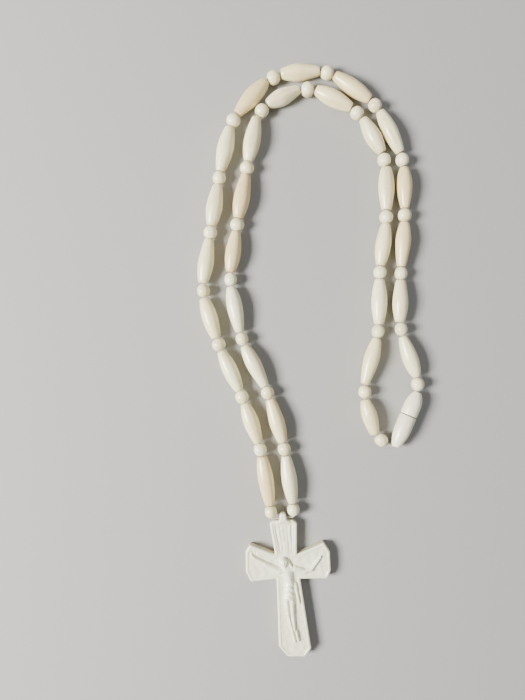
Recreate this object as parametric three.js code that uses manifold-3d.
// A bead necklace with a crucifix pendant, lying flat: two strands side by side run from the cross
// over an arch and down to a two-piece screw clasp. Millimetres, +Z up, the table at z = 0.
import * as THREE from "three";
import { mergeVertices } from "three/addons/utils/BufferGeometryUtils.js";
import Module from "manifold-3d";

const wasm = await Module();
wasm.setup();

// Driving dimensions.
const LONG_RADIUS = 2.55;
const ARCH_SWELL = 0.09; // share by which the beads at the middle of a strand are thicker than at its ends
const AXIS_HEIGHT = LONG_RADIUS * (1 + ARCH_SWELL); // of the thread over the table, which the beads rest on
const GAP = 0.3; // between two pieces on the thread
const SIDES = 10; // round every bead
const MIDDLE_PLACE = 8.5; // of the round beads in a strand
const SWELL_SPREAD = 2.6; // places from the middle over which the thickening fades
const BORE_RADIUS = 0.6;
const THREAD_RADIUS = 0.3;
const THREAD_SIDES = 8;
const LEAD = 0.6; // of straight thread where it comes out of the clasp
const LONG_END_RADIUS = 1.5;
const LONG_BELLY = 0.15; // share of the half length that keeps the full radius
const LONG_SHOULDER = 0.62; // share of the half length where the taper has a second corner
const LONG_TAPER = 1.8; // power of the curve from the belly to the end
const ROUND_RADIUS = 2.25;
const ROUND_HALF = 1.95;
const ROUND_END_RADIUS = 1.25;
const ROUND_SHOULDER = { radius: 0.87, height: 0.55 }; // shares of the radius and of the half length

// Centres of the round beads from the cross to the clasp, [x, y].
const OUTER_ROUTE = [
  [-12.8, -49.45], [-16.2, -29.2], [-22.2, -12.1], [-30, 4.8], [-35.4, 22.3], [-32.6, 41.3], [-29.8, 59],
  [-25.7, 78], [-12.6, 92.6], [5.6, 94], [21.4, 83], [30.3, 65], [30.7, 46.9], [29.3, 28], [29, 9.8],
  [35.3, -7.9],
];
const INNER_ROUTE = [
  [-5.5, -48.75], [-8.4, -29], [-13.8, -10.7], [-22.6, 6.6], [-26.4, 26], [-23.9, 43.8], [-20.7, 62.2],
  [-17, 81.7], [-1, 89.1], [15.6, 80.6], [24.5, 65], [24.7, 46.3], [22.4, 28.3], [22.2, 9.1],
  [16.9, -10.5], [21.8, -27.3],
];
// At these places of both strands there is no round bead, and the thread runs bare between two long beads.
const BARE_PLACES = [4, 7, 10, 13];

// Clasp: a socket half and a screw half on one axis.
const CLASP_TOP = [34.9, -10.7];
const CLASP_FOOT = [27.5, -28.3];
const CLASP_RADIUS = 2.75;
const CLASP_END_RADIUS = 1.45;
const CLASP_SKIN = [[0.79, 1.2], [0.94, 2.8], [1, 5.2]]; // [share of the radius, distance from the blunt end]
const CLASP_SEAM = 0.57; // share of the length that the screw half takes, from the foot
const CLASP_CHAMFER = 0.3; // at the seam and at the stud's tip
const CLASP_SIDES = 12;
const STUD_RADIUS = 1.0;
const STUD_LENGTH = 3.6;
const SOCKET_RADIUS = 1.3;
const SOCKET_DEPTH = 4.2;
const KNOT_RADIUS = 0.75;
const KNOT_SIDES = 8;
const KNOT_RINGS = 6;
const KNOT_SEAT = 0.45; // share of the screw half's length, from the foot
const CHAMBER_RADIUS = 1.1; // of the space in the screw half where the knot sits
const CHAMBER_WALL = 0.6; // share of the chamber's half length with a straight wall

// Cross, in its own frame: +Y up along the upright, the arms crossing at the origin.
const CROSS_CENTRE = [-7.5, -66.7];
const CROSS_TILT = 5.7; // degrees, the foot to the right
const CROSS_THICKNESS = 3.4;
const CROSS_BEVEL = 0.5;
const NUB_Y = 15.7; // centre of the eyelet
const NUB_ROOT_Y = 13; // where its tongue starts, inside the upright
const NUB_RADIUS = 1.5;
const NUB_WIDTH = 2.2;
const NUB_BORE = 0.75;
const NUB_SIDES = 8; // of its round end
// From the middle of the eyelet, [across, up]: where the thread leaves it, low in its bore, and where it
// turns up into the first round bead. Both are the same on the other side.
const EYELET_MOUTH = [1.35, -0.3];
const EYELET_TURN = [3.65, -0.38];
const BORE_SIDES = 10;

// The outline of the cross, hand cut and so not quite even: from the top left corner round to the right.
const CROSS_OUTLINE = [
  [-3.2, 14.9], [-4.5, 14.2], [-3.7, 3.8], [-11.5, 7.8], [-13.1, 5.8], [-13.7, -0.8], [-12.4, -4.2],
  [-4, -4], [-5.4, -25.9], [-2.9, -29.5], [2.8, -30.1], [5, -27.6], [3.7, -4.8], [12.4, -5.6],
  [13.8, -3.1], [14.1, 3], [12.4, 6.2], [3.4, 3.2], [4.4, 13.4], [3.2, 14.4],
];

// The carved figure: each part is a ball stretched between two places on the front of the cross.
const FIGURE = [
  { part: "head", from: [-0.9, 2], to: [-0.7, 3.2], radius: 1.4, rise: 1.6 },
  { part: "chest and belly", from: [0, -3.8], to: [-0.2, 0], radius: 1.9, rise: 1.4 },
  { part: "right arm", from: [-11, 4.2], to: [-3, 0.2], radius: 0.85, rise: 1 },
  { part: "left upper arm", from: [6, -1.6], to: [2.6, 0.2], radius: 0.85, rise: 1 },
  { part: "left forearm", from: [6, -1.6], to: [11, 0.8], radius: 0.85, rise: 1 },
  { part: "waist cloth", from: [0.2, -8], to: [0.1, -6], radius: 2.3, rise: 1.5 },
  { part: "right leg", from: [-0.4, -20], to: [-1.1, -9], radius: 1.1, rise: 1.2 },
  { part: "left leg", from: [1, -20], to: [1.2, -9], radius: 1.1, rise: 1.2 },
  { part: "feet", from: [0.5, -24], to: [0.3, -21], radius: 1.2, rise: 1 },
];
const FIGURE_SUNK = 0.1; // by which the middle of each part lies under the front
const FIGURE_SIDES = 10;
const FIGURE_RINGS = 6;

const WELD = 1e-4; // corners closer than this are one
const UNIT_X = new THREE.Vector3(1, 0, 0);
const UNIT_Y = new THREE.Vector3(0, 1, 0);
const UNIT_Z = new THREE.Vector3(0, 0, 1);

// A body of revolution round +Y from a profile of [radius, height] points.
const lathe = (profile, sides = SIDES) =>
  new THREE.LatheGeometry(profile.map(([r, y]) => new THREE.Vector2(r, y)), sides);

function toSolid(geometry) {
  const bare = geometry.index ? geometry.toNonIndexed() : geometry.clone();
  bare.deleteAttribute("normal");
  bare.deleteAttribute("uv");
  const merged = mergeVertices(bare, WELD);
  return new wasm.Manifold(
    new wasm.Mesh({
      numProp: 3,
      vertProperties: merged.attributes.position.array,
      triVerts: new Uint32Array(merged.index.array),
    }),
  );
}

function toGeometry(solid) {
  const { vertProperties, triVerts } = solid.getMesh();
  return new THREE.BufferGeometry()
    .setAttribute("position", new THREE.BufferAttribute(vertProperties, 3))
    .setIndex(new THREE.BufferAttribute(triVerts, 1));
}

const MATERIALS = {
  bone: { color: "#e2d9bf", roughness: 0.42, metalness: 0 },
  carved: { color: "#ebe7da", roughness: 0.35, metalness: 0 },
  thread: { color: "#cfc8b4", roughness: 0.8, metalness: 0 },
};

const necklace = new THREE.Group();

function addPiece(name, geometry, look, parent = necklace) {
  const piece = new THREE.Mesh(geometry, new THREE.MeshStandardMaterial(MATERIALS[look]));
  piece.name = name;
  parent.add(piece);
  return piece;
}

const onAxis = ([x, y]) => new THREE.Vector3(x, y, AXIS_HEIGHT);

// Turns a piece made along +Y to point from one place to another, its own origin at centre.
function place(piece, centre, direction) {
  piece.position.copy(centre);
  piece.quaternion.setFromUnitVectors(UNIT_Y, direction.clone().normalize());
}

// How much thicker the piece at this place of a strand is, place 1 being next to the cross.
const thickness = (place) => 1 + ARCH_SWELL * Math.exp(-(((place - MIDDLE_PLACE) / SWELL_SPREAD) ** 2));

// A round bead: an oblate ball with a bore and flat ends.
function roundBead(scale) {
  const radius = ROUND_RADIUS * scale;
  const shoulder = { radius: radius * ROUND_SHOULDER.radius, height: ROUND_HALF * ROUND_SHOULDER.height };
  return lathe([
    [BORE_RADIUS, -ROUND_HALF],
    [ROUND_END_RADIUS, -ROUND_HALF],
    [shoulder.radius, -shoulder.height],
    [radius, 0],
    [shoulder.radius, shoulder.height],
    [ROUND_END_RADIUS, ROUND_HALF],
    [BORE_RADIUS, ROUND_HALF],
    [BORE_RADIUS, -ROUND_HALF],
  ]);
}

// A long bead: a spindle, widest in the middle, with a bore and narrow flat ends.
function longBead(half, scale) {
  const radius = LONG_RADIUS * scale;
  const taper = (t) => Math.max(0, (Math.abs(t) - LONG_BELLY) / (1 - LONG_BELLY)) ** LONG_TAPER;
  const stations = [-1, -LONG_SHOULDER, -LONG_BELLY, LONG_BELLY, LONG_SHOULDER, 1];
  const skin = stations.map((t) => [radius - (radius - LONG_END_RADIUS) * taper(t), t * half]);
  return lathe([[BORE_RADIUS, -half], ...skin, [BORE_RADIUS, half], [BORE_RADIUS, -half]]);
}

// A bead halfway between two places on the thread, pointing from one to the other.
function addBead(name, geometry, from, to) {
  place(addPiece(name, geometry, "bone"), from.clone().lerp(to, 0.5), to.clone().sub(from));
}

// How far the long beads stay from the corner of the thread in a round bead, so that all three clear.
function reachAt(corner, before, after) {
  const turn = corner.clone().sub(before).angleTo(after.clone().sub(corner));
  return (ROUND_HALF + GAP + ROUND_END_RADIUS * Math.sin(turn / 2)) / Math.cos(turn / 2);
}

// One strand: a round bead in each corner of the route and a long bead between each two. The thread
// comes in from the place called start and goes on to the place called finish.
function addStrand(side, route, start, finish) {
  const corners = [start, ...route.map(onAxis), finish];
  const towards = (from, to, distance) => from.clone().lerp(to, distance / from.distanceTo(to));
  const line = [];
  for (let i = 1; i < corners.length - 1; i++) {
    const reach = reachAt(corners[i], corners[i - 1], corners[i + 1]);
    const entry = towards(corners[i], corners[i - 1], reach);
    const exit = towards(corners[i], corners[i + 1], reach);
    if (i > 1) {
      const half = entry.distanceTo(line.at(-1)) / 2;
      addBead(`${side}_long_${i - 1}`, longBead(half, thickness(i - 0.5)), line.at(-1), entry);
    }
    if (!BARE_PLACES.includes(i)) {
      addBead(`${side}_round_${i}`, roundBead(thickness(i)), entry, exit);
    }
    line.push(entry, exit);
  }
  return [start, ...line, finish];
}

// The line of the thread: straight between its points, all of them at equal steps of the parameter.
class ThreadLine extends THREE.Curve {
  constructor(points) {
    super();
    this.points = points;
  }
  getPoint(t, target = new THREE.Vector3()) {
    const last = this.points.length - 1;
    const i = Math.min(Math.floor(t * last + Number.EPSILON * last), last - 1);
    return target.lerpVectors(this.points[i], this.points[i + 1], t * last - i);
  }
  getUtoTmapping(u) {
    return u;
  }
}

function circle(radius, sides) {
  const angle = (i) => ((i + 0.5) / sides) * 2 * Math.PI;
  return new THREE.Shape(
    Array.from({ length: sides }, (_, i) =>
      new THREE.Vector2(radius * Math.cos(angle(i)), radius * Math.sin(angle(i)))),
  );
}

function addThread(points) {
  const tube = new THREE.ExtrudeGeometry(circle(THREAD_RADIUS, THREAD_SIDES), {
    extrudePath: new ThreadLine(points),
    steps: points.length - 1,
    curveSegments: 1,
  });
  addPiece("thread", tube, "thread");
}

// The clasp: both halves and the knot are made along +Y, from the foot (y = 0) to the top.
function addClasp() {
  const foot = onAxis(CLASP_FOOT);
  const run = onAxis(CLASP_TOP).sub(foot);
  const length = run.length();
  const seam = length * CLASP_SEAM;
  const barrel = new THREE.Group();
  place(barrel, foot, run);
  necklace.add(barrel);

  const knotY = seam * KNOT_SEAT;
  const skin = CLASP_SKIN.map(([share, distance]) => [CLASP_RADIUS * share, distance]);
  const screwHalf = lathe([
    [BORE_RADIUS, 0],
    [CLASP_END_RADIUS, 0],
    ...skin,
    [CLASP_RADIUS, seam - CLASP_CHAMFER],
    [CLASP_RADIUS - CLASP_CHAMFER, seam],
    [STUD_RADIUS, seam],
    [STUD_RADIUS, seam + STUD_LENGTH - CLASP_CHAMFER],
    [STUD_RADIUS - CLASP_CHAMFER, seam + STUD_LENGTH],
    [0, seam + STUD_LENGTH],
    [0, knotY + CHAMBER_RADIUS],
    [CHAMBER_RADIUS, knotY + CHAMBER_RADIUS * CHAMBER_WALL],
    [CHAMBER_RADIUS, knotY - CHAMBER_RADIUS * CHAMBER_WALL],
    [BORE_RADIUS, knotY - CHAMBER_RADIUS],
    [BORE_RADIUS, 0],
  ], CLASP_SIDES);
  addPiece("clasp_screw_half", screwHalf, "carved", barrel);

  const socketFloor = seam + SOCKET_DEPTH;
  const socketHalf = lathe([
    [SOCKET_RADIUS, seam + GAP],
    [CLASP_RADIUS - CLASP_CHAMFER, seam + GAP],
    [CLASP_RADIUS, seam + GAP + CLASP_CHAMFER],
    ...skin.map(([radius, distance]) => [radius, length - distance]).reverse(),
    [CLASP_END_RADIUS, length],
    [BORE_RADIUS, length],
    [BORE_RADIUS, socketFloor],
    [SOCKET_RADIUS, socketFloor],
    [SOCKET_RADIUS, seam + GAP],
  ], CLASP_SIDES);
  addPiece("clasp_socket_half", socketHalf, "carved", barrel);

  const knot = new THREE.SphereGeometry(KNOT_RADIUS, KNOT_SIDES, KNOT_RINGS);
  addPiece("thread_end_knot", knot, "thread", barrel).position.y = knotY;

  const along = (y) => foot.clone().addScaledVector(run.clone().normalize(), y);
  return {
    topMouth: along(length + LEAD),
    topEnd: along(socketFloor + LEAD),
    footMouth: along(-LEAD),
    footEnd: along(knotY - KNOT_RADIUS - GAP),
  };
}

// One part of the figure.
function limb({ from: [x0, y0], to: [x1, y1], radius, rise }) {
  const reach = Math.hypot(x1 - x0, y1 - y0);
  const ball = new THREE.SphereGeometry(1, FIGURE_SIDES, FIGURE_RINGS);
  ball.scale(radius, reach / 2 + radius, rise);
  ball.rotateZ(Math.atan2(y1 - y0, x1 - x0) - Math.PI / 2);
  ball.translate((x0 + x1) / 2, (y0 + y1) / 2, CROSS_THICKNESS - FIGURE_SUNK);
  return toSolid(ball);
}

// The eyelet: a tongue with a round end, standing out of the top of the upright.
function eyeletSolid() {
  const side = new THREE.Shape();
  side.moveTo(NUB_ROOT_Y, AXIS_HEIGHT - NUB_RADIUS);
  side.lineTo(NUB_Y, AXIS_HEIGHT - NUB_RADIUS);
  side.absarc(NUB_Y, AXIS_HEIGHT, NUB_RADIUS, -Math.PI / 2, Math.PI / 2);
  side.lineTo(NUB_ROOT_Y, AXIS_HEIGHT + NUB_RADIUS);
  const tongue = new THREE.ExtrudeGeometry(side, {
    depth: NUB_WIDTH,
    bevelEnabled: false,
    curveSegments: NUB_SIDES,
  });
  tongue.translate(0, 0, -NUB_WIDTH / 2);
  tongue.applyMatrix4(new THREE.Matrix4().makeBasis(UNIT_Y, UNIT_Z, UNIT_X));
  return toSolid(tongue);
}

function crossSolid() {
  const outline = CROSS_OUTLINE.map(([x, y]) => new THREE.Vector2(x, y));
  const slab = new THREE.ExtrudeGeometry(new THREE.Shape(outline), {
    depth: CROSS_THICKNESS - 2 * CROSS_BEVEL,
    bevelThickness: CROSS_BEVEL,
    bevelSize: CROSS_BEVEL,
    bevelOffset: -CROSS_BEVEL,
    bevelSegments: 1,
  });
  slab.translate(0, 0, CROSS_BEVEL);
  const bore = new THREE.CylinderGeometry(NUB_BORE, NUB_BORE, 3 * NUB_WIDTH, BORE_SIDES);
  bore.rotateZ(Math.PI / 2);
  bore.translate(0, NUB_Y, AXIS_HEIGHT);
  const body = toSolid(slab).add(eyeletSolid());
  return FIGURE.reduce((whole, part) => whole.add(limb(part)), body).subtract(toSolid(bore));
}

function addCross() {
  const cross = addPiece("cross", toGeometry(crossSolid()), "carved");
  cross.position.set(CROSS_CENTRE[0], CROSS_CENTRE[1], 0);
  cross.rotation.z = THREE.MathUtils.degToRad(CROSS_TILT);
  cross.updateMatrixWorld();
  const onThread = (sign) => ([across, up]) =>
    cross.localToWorld(new THREE.Vector3(sign * across, NUB_Y + up, AXIS_HEIGHT));
  return [-1, 1].map((sign) => [EYELET_MOUTH, EYELET_TURN].map(onThread(sign)));
}

const [[leftMouth, leftTurn], [rightMouth, rightTurn]] = addCross();
const { topMouth, topEnd, footMouth, footEnd } = addClasp();
const outerLine = addStrand("outer", OUTER_ROUTE, leftTurn, topMouth);
const innerLine = addStrand("inner", INNER_ROUTE, rightTurn, footMouth);
addThread([topEnd, ...outerLine.reverse(), leftMouth, rightMouth, ...innerLine, footEnd]);

// The whole lies centred on the origin.
const box = new THREE.Box3().setFromObject(necklace, true);
necklace.position.set(-(box.min.x + box.max.x) / 2, -(box.min.y + box.max.y) / 2, 0);

export default necklace;
